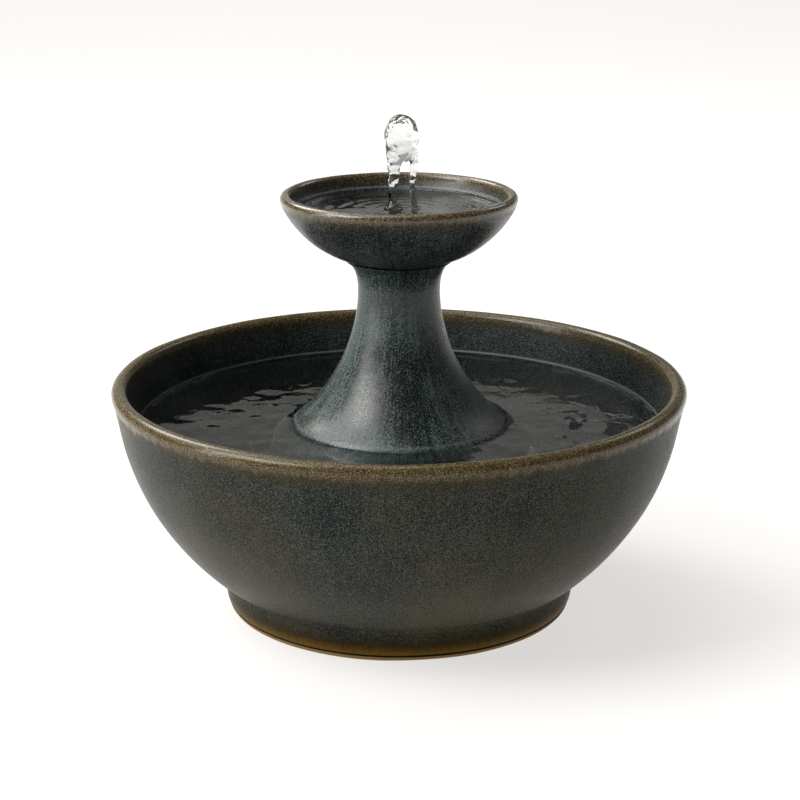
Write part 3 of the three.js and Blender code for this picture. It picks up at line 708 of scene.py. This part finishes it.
class MESH_OT_fountain_pedestal(bpy.types.Operator):
    """Throw the trumpet pedestal and cut the notches in its foot"""

    bl_idname = "mesh.fountain_pedestal"
    bl_label = "Pedestal"

    def execute(self, context):
        size = context.scene.fountain_pottery
        outside = pedestal_outside()
        # The wall is 5 mm thick at the neck and 6 mm at the skirt.
        inside = [(r - 5 - max(0, min(1, (r - 20) / 44)), z - 1) for r, z in reversed(outside) if z < 162]
        outline = [
            (58.8, 15.3), (63.0, 15.3), (63.7, 15.7), (64, 16.6), (64, 30),
            *outside,
            (25.55, 172.15), (25.6, 172.45), (25.1, 172.7), (24.2, 172.6), (22, 172.0), (20.2, 171.4), (19.4, 170.6),
            (19.3, 169), (19.3, 166.2), (18.9, 165.5), (17.5, 165.2), (15.6, 165), (14.9, 164),
            *inside,
            (58, 30), (58, 16.6), (58.3, 15.7), (58.8, 15.3),
        ]
        pedestal = throw("thrown_pedestal", outline, size.sides, closed=True)
        subdivide(pedestal)
        roughen(pedestal, "pedestal_wobble", 40 * MM, size.wobble * 1.2)
        for turn in (0, 90):
            self.cut_notches(pedestal, turn)
        settle(pedestal)
        above_the_lip = 190 * MM
        glaze = glaze_finish(
            "pedestal_glaze", rim=above_the_lip, band=6 * MM, warmth=0.35,
            crystal_tone=context.scene.fountain_glaze.frost, crowding=1.1, streaks=0.4, fineness=1500,
            gloss=0.55, sandiness=0.08 * MM, lime_and_highlight_line=(context.scene.fountain_water.basin_level, 60 * MM, 0.3),
        )
        dress(pedestal, glaze, "column", "glaze", "pedestal")
        return {"FINISHED"}

    def cut_notches(self, pedestal, turn):
        """Cuts an arched way through both sides of the foot."""
        clear_selection()
        middle = 19.3 * MM
        bpy.ops.mesh.primitive_cube_add(size=1, location=(0, 0, middle))
        cutter = bpy.context.object
        cutter.scale = (14 * MM, 150 * MM, 16 * MM)
        bpy.ops.object.transform_apply(location=True, rotation=False, scale=True)
        select_edges(cutter, lambda ends: min(e.z for e in ends) > middle and abs(ends[0].x - ends[1].x) < MM)
        bpy.ops.object.mode_set(mode="EDIT")
        bpy.ops.mesh.select_mode(type="EDGE")
        bpy.ops.mesh.bevel(offset=6 * MM, segments=8)
        bpy.ops.mesh.select_mode(type="VERT")
        bpy.ops.object.mode_set(mode="OBJECT")
        cutter.rotation_euler.z = math.radians(turn)
        bpy.ops.object.transform_apply(location=False, rotation=True, scale=False)
        modifier = pedestal.modifiers.new("Notches", "BOOLEAN")
        modifier.operation = "DIFFERENCE"
        modifier.object = cutter
        modifier.solver = "EXACT"
        finish_modifiers(pedestal)
        bpy.data.objects.remove(cutter)


class MESH_OT_fountain_bowl(bpy.types.Operator):
    """Throw the upper bowl with its small foot ring and centre hole"""

    bl_idname = "mesh.fountain_bowl"
    bl_label = "Upper Bowl"

    def execute(self, context):
        size = context.scene.fountain_pottery
        radius, top, wall = size.bowl_radius / MM, size.bowl_height / MM, size.bowl_wall / MM
        outline = [
            (7.2, 171.2), (7.5, 170.8), (9, 170.7), (12, 170.7), (13.3, 170.5), (13.6, 169.8), (13.6, 167.4),
            (13.8, 166.8), (14.4, 166.6), (16, 166.6), (17.8, 166.6), (18.4, 166.8), (18.6, 167.4), (18.6, 170.4),
            (18.9, 171.3), (20, 171.9),
            *arc(BOWL_CENTRE, BOWL_OUTER_ARC, 172.4, 199, 14),
            (radius - 0.5, 200.9),
            *lip(radius, wall, top, 2.9, 8),
            (radius - wall - 0.5, 200.8),
            *arc(BOWL_CENTRE, BOWL_INNER_ARC, 198.6, 177.2, 11),
            (17, 176.7), (12, 176.6), (8, 176.6), (7.4, 176.4), (7.2, 175.8), (7.2, 173.5), (7.2, 171.2),
        ]
        bowl = throw("thrown_bowl", outline, size.sides, closed=True)
        subdivide(bowl)
        roughen(bowl, "bowl_wobble", 30 * MM, size.wobble)
        settle(bowl)
        glaze = glaze_finish(
            "bowl_glaze", rim=size.bowl_height, band=5.4 * MM, warmth=0.6,
            crystal_tone=context.scene.fountain_glaze.slate, crowding=0.75, streaks=0.22, fineness=1500,
            gloss=0.40, sandiness=0.05 * MM, lip_radius=size.bowl_radius - size.bowl_wall,
            lime_and_highlight_line=(context.scene.fountain_water.bowl_level, 50 * MM, 0.5),
        )
        dress(bowl, glaze, "top", "glaze", "upper_bowl")
        return {"FINISHED"}


class MESH_OT_fountain_water(bpy.types.Operator):
    """Fill the basin and the upper bowl with rippling water"""

    bl_idname = "mesh.fountain_water"
    bl_label = "Water"

    def execute(self, context):
        water = context.scene.fountain_water
        self.fill_basin(water)
        self.fill_bowl(water)
        return {"FINISHED"}

    def fill_basin(self, water):
        level, climb = water.basin_level / MM, water.meniscus / MM
        # The water stands in a ring round the pedestal, and follows its outline down to the floor.
        down = [(r - WATER_OVERLAP, z) for r, z in reversed(pedestal_outside()) if z < level]
        near = down[0][0]
        outline = [
            *self.climbing(near, level, climb, [(0, 0.8), (0.9, 0.35), (2.2, 0.1)]),
            *[(near + 4 + i * 2.05, level) for i in range(33)],
            *self.climbing(0, level, climb, [(124.2, 0.05), (125.6, 0.25), (126.7, 0.6), (127.8, 1)]),
            *arc(BASIN_CENTRE, BASIN_INNER_ARC + WATER_OVERLAP, level - 1, 17, 8),
            (70, 14.8), (63.5, 14.8),
            *reversed(down[1:]),
            *self.climbing(near, level, climb, [(0, 0.8)]),
        ]
        body = throw("basin_ripples", outline, 160, closed=True)
        subdivide(body)
        self.ripple(body, "basin_swell", level, 16 * MM, water.ripple)
        self.ripple(body, "basin_chop", level, 6 * MM, water.ripple * 0.22)
        settle(body, 60)
        dress(body, water_finish("basin_water_clear", 0.5 * MM), "base", "water", "basin_water")

    def fill_bowl(self, water):
        level, climb = water.bowl_level / MM, water.meniscus / MM
        outline = [
            (0.5, level),
            *[(2 + i * 1.5, level) for i in range(29)],
            *self.climbing(0, level, climb, [(46.2, 0.1), (47.3, 0.3), (48.4, 0.7), (49.3, 1)]),
            *arc(BOWL_CENTRE, BOWL_INNER_ARC + WATER_OVERLAP, level - 1, 177, 8),
            (12, 176.3), (0.5, 176.3),
        ]
        body = throw("bowl_ripples", outline, 128)
        subdivide(body)
        self.ripple(body, "bowl_swell", level, 12 * MM, water.ripple * 0.4)
        settle(body, 60)
        finish = water_finish("bowl_water_clear", 0.25 * MM, ring_spacing=6.5 * MM, depth=0.12 * MM)
        dress(body, finish, "top", "water", "bowl_water")

    def climbing(self, start, level, climb, steps):
        """Points of the water's edge: how far out from start, and the share of the full climb up the wall."""
        return [(start + out, level + climb * share) for out, share in steps]

    def ripple(self, piece, name, level, size, height):
        """Ripples the top of the water only."""
        top = [v.index for v in piece.data.vertices if v.co.z > (level - 0.3) * MM]
        group = piece.vertex_groups.new(name=name)
        group.add(top, 1.0, "REPLACE")
        roughen(piece, name, size, height, name)


class MESH_OT_fountain_jet(bpy.types.Operator):
    """Raise the jet: a stem, a rounded head of water and a falling leg"""

    bl_idname = "mesh.fountain_jet"
    bl_label = "Water Jet"

    def execute(self, context):
        top = JET_HIGH.z / MM
        # The ropes start just under the water.
        base = context.scene.fountain_water.bowl_level / MM - 0.8
        clear_selection()
        parts = [self.lobe((x, y, top - depth), size) for (x, y, depth), size in JET_HEAD]
        parts += [self.rope([(x, base + rise, radius) for x, rise, radius in rings]) for rings in (JET_STEM, JET_LEG)]
        clear_selection()
        for part in parts:
            part.select_set(True)
        bpy.context.view_layer.objects.active = parts[0]
        bpy.ops.object.join()
        jet = bpy.context.object
        jet.name = jet.data.name = "jet_of_water"
        remesh = jet.modifiers.new("Run together", "REMESH")
        remesh.mode = "VOXEL"
        remesh.voxel_size = 0.45 * MM
        finish_modifiers(jet)
        self.soften(jet, 8)
        roughen(jet, "jet_lumps", 4.5 * MM, 1.4 * MM)
        self.soften(jet, 2)
        subdivide(jet)
        settle(jet, 80)
        dress(jet, jet_finish(), "top", "water", "water_jet")
        return {"FINISHED"}

    def lobe(self, centre, size):
        place = [c * MM for c in centre]
        bpy.ops.mesh.primitive_uv_sphere_add(segments=32, ring_count=24, radius=1, location=place)
        lobe = bpy.context.object
        lobe.scale = [s * MM for s in size]
        bpy.ops.object.transform_apply(location=True, rotation=False, scale=True)
        return lobe

    def rope(self, rings):
        """A rope of water through rings of [x, height, radius]."""
        x, z, radius = rings[0]
        place = (x * MM, 0, z * MM)
        bpy.ops.mesh.primitive_circle_add(vertices=24, radius=radius * MM, fill_type="NGON", location=place)
        rope = bpy.context.object
        bpy.ops.object.transform_apply(location=True, rotation=False, scale=False)
        bpy.ops.object.mode_set(mode="EDIT")
        bpy.ops.mesh.select_all(action="SELECT")
        for new_x, new_z, new_radius in rings[1:]:
            step = ((new_x - x) * MM, 0, (new_z - z) * MM)
            bpy.ops.mesh.extrude_region_move(TRANSFORM_OT_translate={"value": step})
            pull = new_radius / radius
            bpy.ops.transform.resize(value=(pull, pull, 1), center_override=(new_x * MM, 0, new_z * MM))
            x, z, radius = new_x, new_z, new_radius
        bpy.ops.mesh.select_all(action="SELECT")
        bpy.ops.mesh.normals_make_consistent(inside=False)
        bpy.ops.object.mode_set(mode="OBJECT")
        return rope

    def soften(self, jet, turns):
        smooth = jet.modifiers.new("Surface tension", "SMOOTH")
        smooth.factor = 0.5
        smooth.iterations = turns
        finish_modifiers(jet)


class MESH_OT_fountain_pump(bpy.types.Operator):
    """Finish the pump, the tube and the fittings that the pottery hides"""

    bl_idname = "mesh.fountain_pump"
    bl_label = "Pump and Fittings"

    def execute(self, context):
        pump = plastic_finish("pump_plastic", (0.010, 0.011, 0.012, 1), (0.030, 0.031, 0.033, 1))
        paint(pump, "pump_housing", "pump_foot_plate", "volute_cover", "intake_cover")
        fitting = plastic_finish("fitting_plastic", (0.014, 0.014, 0.014, 1), (0.045, 0.044, 0.042, 1), 0.34, 1900)
        paint(fitting, "bulkhead_fitting", "lock_nut", "jet_nozzle")
        nylon = plastic_finish("white_nylon", (0.62, 0.60, 0.54, 1), (0.46, 0.43, 0.36, 1), 0.38, 1200)
        paint(nylon, "coil_bobbin", "impeller", "flow_regulator")
        seals = ["bowl_grommet", "cord_gland", "front_bushing", "rear_bushing", "volute_o_ring"]
        suckers = [f"suction_cup_{i}" for i in range(1, 5)]
        paint(rubber_finish(), *seals, *suckers)
        paint(vinyl_finish(), "riser_tube")
        paint(foam_finish(), "filter_sponge")
        paint(lamination_finish(), "stator_core")
        paint(copper_finish(), "coil_winding")
        resin = mineral_finish("black_resin", (0.006, 0.006, 0.007, 1), (0.016, 0.016, 0.017, 1), 0.18, 300)
        paint(resin, "epoxy_potting")
        ferrite = mineral_finish("ferrite", (0.022, 0.021, 0.021, 1), (0.060, 0.058, 0.057, 1), 0.55, 1500)
        paint(ferrite, "rotor_magnet")
        ceramic = mineral_finish("shaft_ceramic", (0.80, 0.78, 0.72, 1), (0.70, 0.67, 0.60, 1), 0.24, 2400)
        paint(ceramic, "rotor_shaft")
        return {"FINISHED"}


class SCENE_OT_fountain_stage(bpy.types.Operator):
    """Set up the floor, the soft lights and the camera"""

    bl_idname = "scene.fountain_stage"
    bl_label = "Studio"

    def execute(self, context):
        studio = context.scene.fountain_studio
        self.lay_floor(studio)
        self.paint_sky(context.scene, studio)
        self.softbox("key_softbox", (-1.20, -0.50, 1.35), 0.9, studio.key, WARM_WHITE)
        self.hang_dome(studio)
        self.softbox("side_softbox", (-1.0, 1.04, 1.35), 0.7, studio.side, SOFT_WHITE)
        self.softbox("rim_softbox", (1.0, 1.15, 1.30), 0.6, studio.side * 0.2, SOFT_WHITE)
        strip = self.softbox("strip_softbox", (-1.25, -0.38, 0.45), 0.3, studio.key * 0.2, WARM_WHITE)
        strip.data.shape = "RECTANGLE"
        strip.data.size_y = 0.85
        self.softbox("back_softbox", (-0.6, 3.2, 1.35), 2.2, studio.back, BACK_WHITE)
        context.scene.view_settings.view_transform = "Standard"
        self.place_camera(context.scene, studio)
        return {"FINISHED"}

    def lay_floor(self, studio):
        """A floor that runs to the horizon, a hair under the foot so that the two don't touch."""
        clear_selection()
        bpy.ops.mesh.primitive_plane_add(size=80, location=(0, 0, -0.2 * MM))
        floor = bpy.context.object
        floor.name = "studio_floor"
        settle(floor)
        floor.data.materials.append(floor_finish(studio.floor, studio.glow))

    def paint_sky(self, scene, studio):
        """A pale wall stands all round at the floor's level, and the sky above it is dim."""
        world = scene.world or bpy.data.worlds.new("studio_sky")
        scene.world = world
        world.use_nodes = True
        tree = world.node_tree
        sky = tree.nodes["Background"]
        sky.inputs["Color"].default_value = DAYLIGHT
        heading = tree.nodes.new("ShaderNodeSeparateXYZ")
        fade = tree.nodes.new("ShaderNodeMapRange")
        # The wall fades into the sky between these two heights on a ball round the viewer.
        wall_top, sky_start = 0.01, 0.09
        for socket, value in zip(fade.inputs[1:5], (wall_top, sky_start, studio.wall, studio.sky)):
            socket.default_value = value
        tree.links.new(tree.nodes.new("ShaderNodeTexCoord").outputs["Generated"], heading.inputs[0])
        tree.links.new(heading.outputs[2], fade.inputs[0])
        tree.links.new(fade.outputs[0], sky.inputs["Strength"])

    def softbox(self, name, place, size, power, tone):
        """A square area light aimed at the fountain's middle."""
        aim = Vector((0, 0, 0.1)) - Vector(place)
        turn = aim.to_track_quat("-Z", "Y").to_euler()
        bpy.ops.object.light_add(type="AREA", location=place, rotation=turn)
        box = bpy.context.object
        box.name = name
        box.data.size = size
        box.data.energy = power
        box.data.color = tone
        return box

    def hang_dome(self, studio):
        """One very broad light overhead, tipped to the left and the back."""
        turn = (math.radians(-12), math.radians(-24), 0)
        bpy.ops.object.light_add(type="SUN", location=(0, 0, 3), rotation=turn)
        dome = bpy.context.object
        dome.name = "top_dome"
        dome.data.energy = studio.top
        dome.data.angle = math.radians(62)
        dome.data.color = OVERHEAD_WHITE

    def place_camera(self, scene, studio):
        """The camera stands in front, a little over the upper bowl, and looks slightly down."""
        clear_selection()
        tilt = math.radians(73.26)
        bpy.ops.object.camera_add(location=(0, -0.93924, 0.38420), rotation=(tilt, 0, 0))
        camera = bpy.context.object
        camera.data.lens = studio.lens
        camera.data.sensor_width = 36
        camera.data.shift_x = 0.00125
        camera.data.clip_start = 0.01
        scene.camera = camera


class VIEW3D_PT_fountain(bpy.types.Panel):
    """The fountain's pieces in the order they are built"""

    bl_label = "Tabletop Fountain"
    bl_idname = "VIEW3D_PT_fountain"
    bl_space_type = "VIEW_3D"
    bl_region_type = "UI"
    bl_category = "Fountain"

    def draw(self, context):
        column = self.layout.column()
        for operator in OPERATORS:
            column.operator(operator.bl_idname)
        for setting in SETTINGS:
            group = getattr(context.scene, setting)
            box = self.layout.box()
            for name in group.__annotations__:
                box.prop(group, name)


OPERATORS = (
    SCENE_OT_fountain_stage,
    MESH_OT_fountain_basin,
    MESH_OT_fountain_pedestal,
    MESH_OT_fountain_bowl,
    MESH_OT_fountain_water,
    MESH_OT_fountain_jet,
    MESH_OT_fountain_pump,
)
SETTINGS = {
    "fountain_pottery": FountainPottery,
    "fountain_glaze": FountainGlaze,
    "fountain_water": FountainWater,
    "fountain_studio": FountainStudio,
}


CLASSES = (*SETTINGS.values(), *OPERATORS, VIEW3D_PT_fountain)


def register():
    for cls in CLASSES:
        bpy.utils.register_class(cls)
    for name, group in SETTINGS.items():
        setattr(bpy.types.Scene, name, PointerProperty(type=group))


def unregister():
    for name in SETTINGS:
        delattr(bpy.types.Scene, name)
    for cls in reversed(CLASSES):
        bpy.utils.unregister_class(cls)


def main():
    register()
    bpy.ops.scene.fountain_stage()
    bpy.ops.mesh.fountain_basin()
    bpy.ops.mesh.fountain_pedestal()
    bpy.ops.mesh.fountain_bowl()
    bpy.ops.mesh.fountain_water()
    bpy.ops.mesh.fountain_jet()
    bpy.ops.mesh.fountain_pump()


if __name__ == "__main__":
    main()
